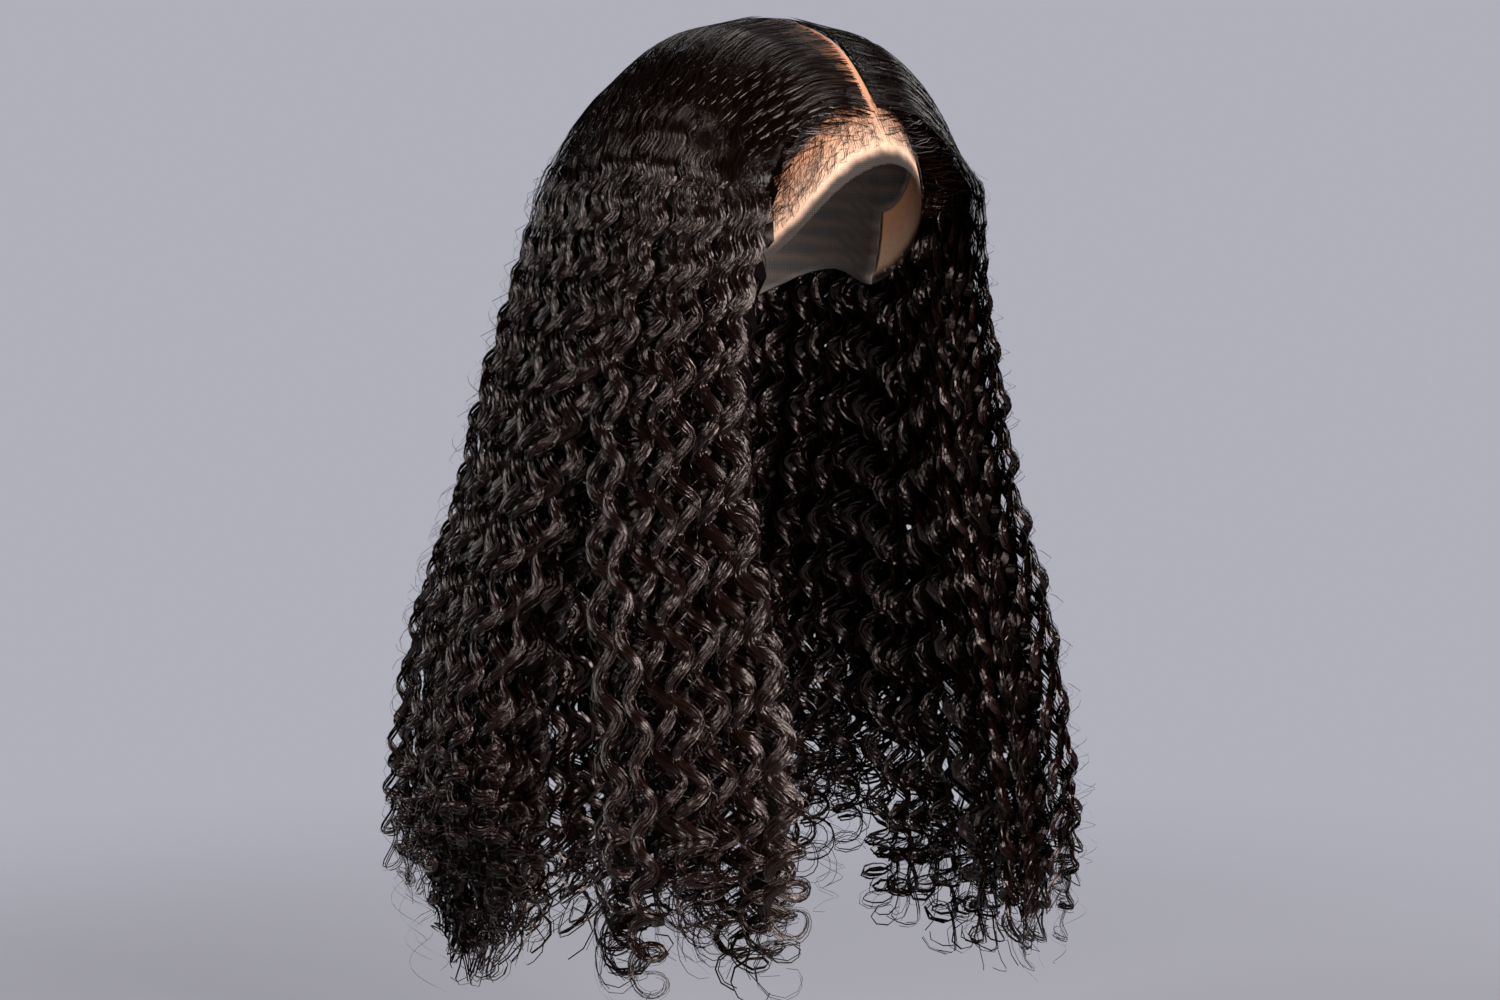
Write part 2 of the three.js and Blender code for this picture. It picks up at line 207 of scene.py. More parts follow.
class LaceSettings(bpy.types.PropertyGroup):
    """The colours and the net of the lace front."""

    skin: FloatVectorProperty(
        name="Tint", description="Colour of the tinted lace", default=(0.70, 0.41, 0.275), subtype="COLOR")
    # The lace under the hair, painted darker as the hair's shade on it.
    shaded: FloatVectorProperty(
        name="Under hair", description="Colour of the lace at the roots", default=(0.50, 0.20, 0.10),
        subtype="COLOR")
    edge: FloatVectorProperty(
        name="Edge", description="Colour of the bare net at the edge", default=(0.07, 0.052, 0.046),
        subtype="COLOR")
    cell: FloatProperty(
        name="Net cell", description="Width of a hole in the net", default=1.0 * MM, unit="LENGTH")
    baby_hairs: IntProperty(
        name="Baby hairs", description="Short hairs on each side of the lace", default=260)


class CapSettings(bpy.types.PropertyGroup):
    """The weft cap."""

    colour: FloatVectorProperty(
        name="Net", description="Colour of the cap's net", default=(0.050, 0.043, 0.040), subtype="COLOR")
    weft: FloatVectorProperty(
        name="Weft", description="Colour of the sewn rows", default=(0.085, 0.058, 0.046), subtype="COLOR")
    spacing: FloatProperty(
        name="Weft spacing", description="Distance between sewn rows", default=9 * MM, unit="LENGTH")
    ridge: FloatProperty(
        name="Weft height", description="How far a sewn row stands out", default=0.9 * MM, unit="LENGTH")


class StageSettings(bpy.types.PropertyGroup):
    """The floor, the light and the camera."""

    floor: FloatVectorProperty(
        name="Floor", description="Colour of the floor", default=(0.36, 0.355, 0.395), subtype="COLOR")
    backdrop: FloatVectorProperty(
        name="Backdrop", description="Colour of the room behind the wig", default=(0.434, 0.434, 0.497),
        subtype="COLOR")
    room_light: FloatProperty(
        name="Room light", description="How much the room lights the wig", default=0.045)
    drop: FloatProperty(
        name="Floor height", description="Height of the floor", default=-0.72, unit="LENGTH")
    azimuth: FloatProperty(
        name="Azimuth", description="Camera's turn round the wig", default=math.radians(-47),
        subtype="ANGLE")
    elevation: FloatProperty(
        name="Elevation", description="Camera's tilt above level", default=math.radians(6), subtype="ANGLE")
    distance: FloatProperty(
        name="Distance", description="Camera's distance", default=2.2, unit="LENGTH")
    lens: FloatProperty(name="Lens", description="Focal length in millimetres", default=90)
    aim_right: FloatProperty(
        name="Aim aside", description="Aim right of the head's axis", default=-10 * MM, unit="LENGTH")
    aim_height: FloatProperty(
        name="Aim height", description="Height that the camera aims at", default=-273 * MM, unit="LENGTH")


SETTINGS = {
    "wig_hair": HairSettings,
    "wig_lace": LaceSettings,
    "wig_cap": CapSettings,
    "wig_stage": StageSettings,
}


def smooth(value, low=0.0, high=1.0):
    """Rises smoothly from 0 at low to 1 at high."""
    t = np.clip((np.asarray(value, float) - low) / (high - low), 0, 1)
    return t * t * (3 - 2 * t)


def lerp(a, b, t):
    """The value a share of the way from a to b."""
    return a + (b - a) * t


def unit(vectors):
    """The vectors at length 1."""
    return vectors / np.maximum(np.linalg.norm(vectors, axis=-1, keepdims=True), 1e-12)


def along(rows, columns, column, at):
    """A table's column at places along its first column, on smooth cubic pieces."""
    table = np.array(sorted(rows), float)
    keys, values = table[:, 0], table[:, columns.index(column)]
    slopes = np.empty(len(keys))
    slopes[1:-1] = (values[2:] - values[:-2]) / (keys[2:] - keys[:-2])
    slopes[0] = (values[1] - values[0]) / (keys[1] - keys[0])
    slopes[-1] = (values[-1] - values[-2]) / (keys[-1] - keys[-2])
    i = np.clip(np.searchsorted(keys, at) - 1, 0, len(keys) - 2)
    span = keys[i + 1] - keys[i]
    t = np.clip((at - keys[i]) / span, 0, 1)
    return (
        (2 * t**3 - 3 * t**2 + 1) * values[i]
        + (t**3 - 2 * t**2 + t) * slopes[i] * span
        + (3 * t**2 - 2 * t**3) * values[i + 1]
        + (t**3 - t**2) * slopes[i + 1] * span
    )


def from_front(angle):
    """Degrees from the front, the same on both sides."""
    return 180 - np.abs(180 - np.mod(angle, 360))


def on_right(angle):
    """Whether an angle lies on the wearer's right."""
    return np.sin(np.radians(angle)) > 0


def rim_height(angle):
    """Height of the cap's rim, in metres."""
    return along(RIM, RIM_COLUMNS, "z", from_front(angle)) * MM


def head_tilt(z):
    """How far down the head a height lies, as an angle at the head's middle."""
    return np.arccos(np.clip((z + HEAD_HEIGHT) / HEAD_HEIGHT, -1, 1))


def head_point(angle, tilt, lift):
    """A point of the head at degrees from the front and a tilt from the crown, lifted off it."""
    turn = np.radians(angle)
    return np.stack(np.broadcast_arrays(
        -(HEAD_WIDTH + lift) * np.sin(tilt) * np.sin(turn),
        -(HEAD_LENGTH + lift) * np.sin(tilt) * np.cos(turn),
        (HEAD_HEIGHT + lift) * np.cos(tilt) - HEAD_HEIGHT,
    ), axis=-1)


def ridge_height(y):
    """How high the ridge under the parting is at a place from the front, which is negative, to the back."""
    return RIDGE_HEIGHT * smooth(y, *RIDGE_RISES)


def growth(angle):
    """Where the hair of an angle is rooted and where it leaves the head, as head directions."""
    turned = np.clip((from_front(angle) - GROWTH_FIRST) / (GROWTH["turn"] - GROWTH_FIRST), 0, 1)
    y = lerp(GROWTH["front"], GROWTH["back"], turned) / HEAD_LENGTH
    side = np.where(on_right(angle), -1, 1)
    fade = np.clip((180 - from_front(angle)) / NAPE_ANGLES, NAPE_SHARE, 1)
    narrowed = lerp(1, GROWTH["narrow"], turned ** GROWTH["narrowing"])
    x = side * GROWTH["aside"] * narrowed * fade / HEAD_WIDTH
    root = np.stack([x, y, np.sqrt(1 - x**2 - y**2)], axis=-1)
    leaving = head_point(angle, head_tilt(LEAVING_Z), 0) - HEAD_CENTRE
    return root, unit(leaving / HEAD_SIZES)


def combed_point(angle, share, lift):
    """A point of the combed hair and the way out of the head there."""
    root, leaving = growth(angle)
    arc = np.arccos(np.clip((root * leaving).sum(-1), -1, 1))
    first = (np.sin((1 - share) * arc) / np.sin(arc))[..., None]
    last = (np.sin(share * arc) / np.sin(arc))[..., None]
    place = root * first + leaving * last
    swept = 1 - smooth(from_front(angle) - GROWTH_FIRST, 0, GROWTH["swept"])
    by_side = np.where(on_right(angle), 1, GROWTH["left_sweep"])
    place[..., 1] += GROWTH["sweep"] * by_side * swept * np.sin(np.pi * share)
    place = unit(place)
    outward = unit(place / HEAD_SIZES)
    return place * HEAD_SIZES + HEAD_CENTRE + outward * lift[..., None], outward


def combed_lift(angle, share):
    """How high the combed hair stands off the head: low at the parting and, longer, along the hairline."""
    full = lerp(LIFT["parting"], LIFT["leaving"], share ** LIFT["curve"])
    behind = smooth((from_front(angle) - GROWTH_FIRST) / LIFT_FULL_AFTER)
    risen = share ** np.where(on_right(angle), LIFT["right"], LIFT["left"])
    return lerp(np.minimum(LIFT["hairline"], full), full, lerp(behind, 1, risen))


def hanging_point(leaves, ends, z, outward):
    """A point of the hanging hair, from 0 at its inside to 1 at its outside, and the way out there."""
    turn = np.radians(lerp(leaves, ends, smooth(-z, *SWINGS)))
    width, depth, back, thick = (
        along(CURTAIN, CURTAIN_COLUMNS, column, z / MM) * MM for column in CURTAIN_COLUMNS[1:])
    inset = (1 - outward) * thick
    outside = np.stack(np.broadcast_arrays(-np.sin(turn), -np.cos(turn), 0 * turn), axis=-1)
    place = outside * np.stack([width - inset, depth - inset, 0 * width], axis=-1)
    return place + np.stack([0 * z, back, z], axis=-1), unit(outside)


class Socket:
    """A shader socket that works in Python expressions."""

    def __init__(self, shading, socket):
        self.shading = shading
        self.socket = socket

    def math(self, operation, *values):
        """A Math node of these values."""
        return self.shading.add("ShaderNodeMath", {"operation": operation}, dict(enumerate(values)))

    def __add__(self, other):
        return self.math("ADD", self, other)

    def __sub__(self, other):
        return self.math("SUBTRACT", self, other)

    def __rsub__(self, other):
        return self.math("SUBTRACT", other, self)

    def __mul__(self, other):
        return self.math("MULTIPLY", self, other)

    __radd__ = __add__
    __rmul__ = __mul__

    def between(self, low, high):
        """Rises smoothly from 0 to 1 between two values."""
        return self.shading.add(
            "ShaderNodeMapRange", {"interpolation_type": "SMOOTHSTEP"},
            {"Value": self, "From Min": low, "From Max": high})


class Shading:
    """The nodes of a material or of the room, under construction."""

    def __init__(self, owner):
        owner.use_nodes = True
        self.nodes = owner.node_tree.nodes
        self.links = owner.node_tree.links

    def add(self, kind, settings=None, values=None, output=0):
        """Adds a node, sets it up, feeds its sockets and returns one of its outputs."""
        node = self.nodes.new(kind)
        for name, value in (settings or {}).items():
            setattr(node, name, value)
        for name, value in (values or {}).items():
            self.feed(node.inputs[name], value)
        return Socket(self, node.outputs[output])

    def feed(self, socket, value):
        """Links a socket to another, or sets its value."""
        if isinstance(value, Socket):
            self.links.new(value.socket, socket)
        else:
            socket.default_value = value

    def mix(self, share, first, second):
        """A colour between two colours."""
        colours = [c if isinstance(c, Socket) else (*c, 1) for c in (first, second)]
        return self.add(
            "ShaderNodeMix", {"data_type": "RGBA"}, {0: share, 6: colours[0], 7: colours[1]}, output=2)

    def field(self, name):
        """A number stored on the mesh."""
        return self.add("ShaderNodeAttribute", {"attribute_name": name}, output="Fac")

    def noise(self, place, scale, detail, stretch=(1, 1, 1)):
        """A cloudy pattern on flat places that are stretched first."""
        stretched = self.add("ShaderNodeMapping", {}, {"Vector": place, "Scale": stretch})
        return self.add(
            "ShaderNodeTexNoise", {"noise_dimensions": "2D"},
            {"Vector": stretched, "Scale": scale, "Detail": detail}, "Fac")

    def cells(self, place, feature, scale, randomness):
        """Distances in a pattern of cells on flat places."""
        return self.add(
            "ShaderNodeTexVoronoi", {"voronoi_dimensions": "2D", "feature": feature},
            {"Vector": place, "Scale": scale, "Randomness": randomness}, "Distance")

    def bump(self, height, distance, strength):
        """A surface direction raised by a pattern."""
        return self.add(
            "ShaderNodeBump", {}, {"Strength": strength, "Distance": distance, "Height": height}, "Normal")


class Finish(Shading):
    """A material under construction, with its shader."""

    def __init__(self, name, **constants):
        self.material = bpy.data.materials.new(name)
        super().__init__(self.material)
        self.shader = self.nodes["Principled BSDF"]
        self.shade(**constants)

    def shade(self, **values):
        """Feeds the shader's sockets and returns the material."""
        for socket, value in values.items():
            self.feed(self.shader.inputs[socket.replace("_", " ")], value)
        return self.material


def hair_finish(name, gloss, shine):
    """Brown-black hair with a soft gloss, redder towards the ends, every strand a little different."""
    hair = bpy.context.scene.wig_hair
    finish = Finish(name, Specular_IOR_Level=shine, IOR=1.55, Specular_Tint=(1.0, 0.80, 0.74, 1))
    tone_and_shade, run = finish.field("tone_and_shade"), finish.field("run")
    uv = finish.add("ShaderNodeUVMap", {"uv_map": "strand"})
    streaks = finish.noise(uv, 1.0, 2.0, (2.6, 0.03, 1)).between(0.35, 0.65)
    # Redder towards the ends, different for each strand, and darker with the tone field's painted shade.
    ends = (run.between(0.3, 1.0) * 0.5 + 0.5) * tone_and_shade + streaks * 0.1
    colour = finish.mix(ends, tuple(hair.roots), tuple(hair.ends))
    grooves = finish.add(
        "ShaderNodeTexWave", {"wave_type": "BANDS", "bands_direction": "X"},
        {"Vector": uv, "Scale": 0.8, "Distortion": 0.6}, output="Fac")
    return finish.shade(
        Base_Color=colour, Roughness=tone_and_shade * 0.12 + streaks * 0.10 + (gloss - 0.10),
        Normal=finish.bump(grooves, 0.2 * MM, 0.3))


def lace_finish():
    """Tinted net: painted shade deep at the roots, peach on the hairline, bare and sheer along its edge."""
    lace = bpy.context.scene.wig_lace
    finish = Finish("tinted_lace", Specular_IOR_Level=0.25)
    edge = finish.field("from_edge")
    uv = finish.add("ShaderNodeUVMap", {"uv_map": "net"})
    thread = 1 - finish.cells(uv, "DISTANCE_TO_EDGE", MM / lace.cell, 0.35).between(0.05, 0.16)
    cloud = finish.noise(uv, 0.12, 3.0)
    tinted = (edge + cloud * (3 * MM)).between(5 * MM, 12 * MM)
    teeth = finish.noise(uv, 0.7, 2.0)
    whole = (edge + teeth * (2.4 * MM)).between(1.3 * MM, 2.0 * MM)
    # Under the hair the lace is painted darker: painted shade of the hair lying over it.
    rooted_and_shaded = (edge + cloud * (6 * MM)).between(12 * MM, 36 * MM)
    colour = finish.mix(rooted_and_shaded, tuple(lace.skin), tuple(lace.shaded))
    colour = finish.mix(tinted, tuple(lace.edge), colour)
    knots = finish.cells(uv, "F1", 0.22, 1.0)
    knot = (1 - knots.between(0.05, 0.09)) * edge.between(6 * MM, 10 * MM)
    colour = finish.mix(knot * 0.7, colour, (0.03, 0.015, 0.01))
    colour = finish.mix(thread * tinted * 0.25, colour, (0.95, 0.68, 0.5))
    sheer = thread * 0.45 + 0.15
    return finish.shade(
        Base_Color=colour, Roughness=0.75 - thread * 0.1, Normal=finish.bump(thread, 0.2 * MM, 0.35),
        Alpha=whole * (sheer + tinted * (1 - sheer)))


def cap_finish():
    """Dark stretch net with lighter sewn rows of weft."""
    cap = bpy.context.scene.wig_cap
    finish = Finish("weft_cap_net", Specular_IOR_Level=0.3)
    uv = finish.add("ShaderNodeUVMap", {"uv_map": "net"})
    row = finish.field("weft")
    net = 1 - finish.cells(uv, "DISTANCE_TO_EDGE", 0.6, 0.3).between(0.06, 0.2)
    hairs = finish.noise(uv, 1.0, 4.0, (2.2, 0.15, 1))
    colour = finish.mix(row, tuple(cap.colour), tuple(cap.weft))
    colour = finish.mix(net * (1 - row) * 0.6, colour, (0.035, 0.028, 0.026))
    height = row * hairs + net * (1 - row) * 0.6
    return finish.shade(
        Base_Color=colour, Roughness=0.8 - row * 0.3, Normal=finish.bump(height, 0.5 * MM, 0.6))


def floor_finish():
    """Plain pale paper, very slightly mottled."""
    stage = bpy.context.scene.wig_stage
    finish = Finish("pale_floor", Specular_IOR_Level=0.1)
    place = finish.add("ShaderNodeTexCoord", output="Object")
    cloud = finish.add("ShaderNodeTexNoise", {}, {"Vector": place, "Scale": 1.5, "Detail": 2.0}, "Fac")
    colour = finish.mix(cloud * 0.08, tuple(stage.floor), (0.52, 0.51, 0.56))
    faded = finish.field("radius").between(*FLOOR_FADES)
    return finish.shade(Base_Color=colour, Roughness=cloud * 0.1 + 0.85, Alpha=1 - faded)


def mesh_object(name, points, quads, material):
    """A smooth mesh object of quads, from arrays."""
    mesh = bpy.data.meshes.new(name)
    mesh.vertices.add(len(points))
    mesh.vertices.foreach_set("co", np.ascontiguousarray(points, np.float32).ravel())
    mesh.loops.add(quads.size)
    mesh.loops.foreach_set("vertex_index", quads.astype(np.int32).ravel())
    mesh.polygons.add(len(quads))
    mesh.polygons.foreach_set("loop_start", np.arange(0, quads.size, 4, dtype=np.int32))
    mesh.update(calc_edges=True)
    mesh.materials.append(material)
    mesh.polygons.foreach_set("use_smooth", np.ones(len(quads), bool))
    made = bpy.data.objects.new(name, mesh)
    bpy.context.scene.collection.objects.link(made)
    return made


def ring_quads(rows, columns):
    """The quads between rows of points that each close into a ring."""
    grid = np.arange(rows * columns).reshape(rows, columns)
    beside = np.roll(grid, -1, axis=1)
    return np.stack([grid[:-1], grid[1:], beside[1:], beside[:-1]], -1).reshape(-1, 4)


def store(made, name, values):
    """Keeps a number for each point on the mesh."""
    field = made.data.attributes.new(name, "FLOAT", "POINT")
    field.data.foreach_set("value", np.ascontiguousarray(values, np.float32).ravel())


def store_uv(made, name, places):
    """Keeps a flat place for each point on the mesh."""
    layer = made.data.uv_layers.new(name=name)
    corners = np.empty(len(made.data.loops), np.int32)
    made.data.loops.foreach_get("vertex_index", corners)
    layer.data.foreach_set("uv", np.ascontiguousarray(places[corners], np.float32).ravel())


class Ribbons:
    """Strands drawn as narrow ribbons, gathered from many locks into one mesh."""

    def __init__(self):
        self.parts = []

    def add(self, points, outward, width, tilt, tone_and_shade):
        """Adds strands: points and outward for each strand and step, width and tilt too, tone for each."""
        way = unit(np.gradient(points, axis=1))
        across = unit(np.cross(way, outward))
        facing = np.cross(across, way)
        turn = np.broadcast_to(tilt, width.shape)[..., None]
        aside = (across * np.cos(turn) + facing * np.sin(turn)) * (width[..., None] / 2)
        steps = points.shape[1]
        lengths = path_length(points)
        sides = np.array([0.0, 1.0]) * width.max(axis=1)[:, None, None] / MM
        self.parts.append({
            "points": np.stack([points - aside, points + aside], axis=2),
            "tone_and_shade": np.broadcast_to(tone_and_shade[:, None, None], (*points.shape[:2], 2)),
            "run": np.broadcast_to(np.linspace(0, 1, steps)[None, :, None], (*points.shape[:2], 2)),
            "uv": np.stack(np.broadcast_arrays(sides, lengths[..., None] / MM), axis=-1),
        })

    def build(self, name, material):
        """Makes the mesh object of all strands added so far."""
        quads, first = [], 0
        for part in self.parts:
            strands, steps = part["points"].shape[:2]
            at = first + np.arange(strands * steps * 2).reshape(strands, steps, 2)
            corners = [at[:, :-1, 0], at[:, 1:, 0], at[:, 1:, 1], at[:, :-1, 1]]
            quads.append(np.stack(corners, -1).reshape(-1, 4))
            first += strands * steps * 2
        joined = {key: [part[key] for part in self.parts] for key in self.parts[0]}
        points = np.concatenate([p.reshape(-1, 3) for p in joined["points"]])
        made = mesh_object(name, points, np.concatenate(quads), material)
        store(made, "tone_and_shade", np.concatenate([t.ravel() for t in joined["tone_and_shade"]]))
        store(made, "run", np.concatenate([r.ravel() for r in joined["run"]]))
        store_uv(made, "strand", np.concatenate([u.reshape(-1, 2) for u in joined["uv"]]))
        return made


def dome_grid(columns, band_rows, rows):
    """Angles and tilts of a dome whose rows reach the lace band's top and then its rim."""
    reach = np.linspace(-LACE_REACH, LACE_REACH, columns // 2 + 1)
    rest = np.linspace(LACE_REACH, 360 - LACE_REACH, columns // 2 + 1)[1:-1]
    angle = np.concatenate([reach, rest])
    rim = head_tilt(rim_height(angle))
    top = rim - math.radians(LACE_DEPTH)
    upper = np.linspace(0.015, 1, rows)[:, None] * top[None, :]
    lower = top + np.linspace(0, 1, band_rows + 1)[1:, None] * (rim - top)
    return angle, np.concatenate([upper, lower])


def take_faces(made, keep):
    """Cuts a dome along the parting strip and keeps the faces that are lace, or the others."""
    work = bmesh.new()
    work.from_mesh(made.data)
    cuts = (((0, 1, 0), STRIP_BACK), ((1, 0, 0), STRIP_HALF_WIDTH), ((-1, 0, 0), STRIP_HALF_WIDTH))
    for normal, distance in cuts:
        faces = [face for face in work.faces if face.calc_center_median().y < STRIP_BACK + CUT_REACH]
        edges = list(dict.fromkeys(edge for face in faces for edge in face.edges))
        corners = list(dict.fromkeys(corner for face in faces for corner in face.verts))
        bmesh.ops.bisect_plane(
            work, geom=corners + edges + faces, dist=CUT_SNAP, plane_co=Vector(normal) * distance,
            plane_no=normal)
    band = work.verts.layers.float["band"]
    reach = work.verts.layers.float["reach"]
    gone = []
    for face in work.faces:
        middle = face.calc_center_median()
        in_strip = abs(middle.x) < STRIP_HALF_WIDTH and middle.y < STRIP_BACK and middle.z > -HEAD_HEIGHT
        in_band = (
            sum(v[band] for v in face.verts) / len(face.verts) > 0
            and sum(v[reach] for v in face.verts) / len(face.verts) < LACE_REACH)
        if keep != (in_band or in_strip):
            gone.append(face)
    bmesh.ops.delete(work, geom=gone, context="FACES")
    work.to_mesh(made.data)
    work.free()


def dome_sheet(name, columns, band_rows, rows, lift, material):
    """A smooth dome over the head with the fields that its materials read."""
    angle, tilt = dome_grid(columns, band_rows, rows)
    points = head_point(angle[None, :], tilt, lift(angle, tilt))
    made = mesh_object(name, points.reshape(-1, 3), ring_quads(*tilt.shape), material)
    rim = head_tilt(rim_height(angle))
    store(made, "from_edge", (rim - tilt) * HEAD_MIDDLE)
    store(made, "band", np.where(np.arange(len(tilt))[:, None] >= rows, 1.0, -1.0) + 0 * tilt)
    store(made, "reach", from_front(angle)[None, :] + 0 * tilt)
    places = np.stack(np.broadcast_arrays(np.radians(angle)[None, :], tilt), -1) * HEAD_MIDDLE / MM
    store_uv(made, "net", places.reshape(-1, 2))
    return made


def finish_sheet(made, wall, node):
    """Gives a sheet its thickness and lets it stand for its solid."""
    solidify = made.modifiers.new("wall", "SOLIDIFY")
    solidify.thickness = wall
    solidify.offset = 1
    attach(made, "root")
    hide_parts(node)


def weft_rows(tilt):
    """How much of a sewn row of weft there is at a tilt, 0 to 1."""
    turn = tilt * HEAD_MIDDLE / bpy.context.scene.wig_cap.spacing
    return np.clip(np.cos(2 * np.pi * turn), 0, 1) ** 0.5


class WIG_OT_lace_front(bpy.types.Operator):
    """Makes the lace band along the hairline and the strip under the parting"""

    bl_idname = "wig.lace_front"
    bl_label = "Lace front"

    def execute(self, context):
        made = dome_sheet("lace_front_net", *LACE_GRID, self.ridge, lace_finish())
        take_faces(made, keep=True)
        finish_sheet(made, LACE_WALL, "lace_front")
        return {"FINISHED"}

    def ridge(self, angle, tilt):
        """How far the lace stands off the head: a low ridge runs along the parting."""
        aside = HEAD_WIDTH * np.sin(tilt) * np.abs(np.sin(np.radians(angle)))
        y = -HEAD_LENGTH * np.sin(tilt) * np.cos(np.radians(angle))
        return LACE_LIFT + ridge_height(y) * (1 - smooth(aside, *RIDGE_SIDES))


class WIG_OT_weft_cap(bpy.types.Operator):
    """Makes the cap with its sewn rows of weft"""

    bl_idname = "wig.weft_cap"
    bl_label = "Weft cap"

    def execute(self, context):
        cap = context.scene.wig_cap
        made = dome_sheet(
            "weft_cap_net", *CAP_GRID, lambda angle, tilt: -cap.ridge * weft_rows(tilt), cap_finish())
        store(made, "weft", weft_rows(dome_grid(*CAP_GRID)[1]))
        take_faces(made, keep=False)
        finish_sheet(made, CAP_WALL, "weft_cap")
        return {"FINISHED"}


def path_points(progress, leaves, ends, tip, outward, sewn):
    """Points at a progress along a lock, 0 to 1 on the head and 1 to 2 hanging, and the way out there."""
    share = np.clip(progress, 0, 1)
    rise = smooth(progress, sewn - 0.01, lerp(RISEN_BY, 1.0, min(sewn / SEWN_LOW, 1)))
    ridge = ridge_height(growth(leaves)[0][..., 1] * HEAD_LENGTH) * (1 - smooth(share, 0, 0.3))
    lower = 1 - INSIDE_LOWER * (1 - outward) * share
    lift = combed_lift(leaves, share) * lower * rise + ridge + CLEARANCE
    on_head, out_of_head = combed_point(leaves + 0 * share, share, lift)
    z = lerp(LEAVING_Z, tip, np.clip(progress - 1, 0, 1))
    hanging, out_of_hair = hanging_point(leaves + 0 * z, ends + 0 * z, z, outward)
    hangs = smooth(progress, 0.9, 1.12)[..., None]
    points = np.where((progress >= 1)[..., None], hanging, on_head)
    return points, unit(lerp(out_of_head, out_of_hair, hangs))


def path_length(points):
    """The distance along lines of points, from their starts."""
    return np.linalg.norm(np.diff(points, axis=-2, prepend=points[..., :1, :]), axis=-1).cumsum(-1)


def sideways(points, out):
    """The way across lines of points, flat on the hair."""
    return unit(np.cross(unit(np.gradient(points, axis=1)), out))


def for_each(rng, count, repeat=1):
    """A function that draws a number between two values for each strand, or for each group of strands."""
    return lambda low, high: np.repeat(rng.uniform(low, high, count), repeat)[:, None]


def lock_line(rng, panel, layer, leaves, ends, tip, outward):
    """Steps along a lock, closer where it curls more: progress, distance, and curls since the head."""
    fine = np.linspace(layer["sewn"], 2, 400)
    distance = path_length(path_points(fine, leaves, ends, tip, outward, layer["sewn"])[0])
    length = distance[-1]
    on_head = 1 - smooth(distance + layer["sewn"] * HEAD_RUN, *DRAWN_OUT)
    near_end = smooth(length - distance, *TIGHTENED)
    uneven = 0.03 * np.sin(distance / length * 9 + rng.uniform(0, 2 * np.pi))
    pitch = bpy.context.scene.wig_hair.pitch * panel["pitch"] * rng.uniform(0.988, 1.012)
    closer = 1 + CLOSER_ON_HEAD * on_head + CLOSER_AT_TIP * near_end + uneven
    pace = closer * np.gradient(distance) / pitch
    turns = np.cumsum(pace)
    turns = turns - np.interp(1, fine, turns)
    detail = np.cumsum(pace * (1 + FINER_ON_HEAD * on_head) * (1 + FINER_AT_TIP * near_end))
    even = np.linspace(detail[0], detail[-1], int(detail[-1] * layer["steps"]))
    return tuple(np.interp(even, detail, values) for values in (fine, distance, turns))


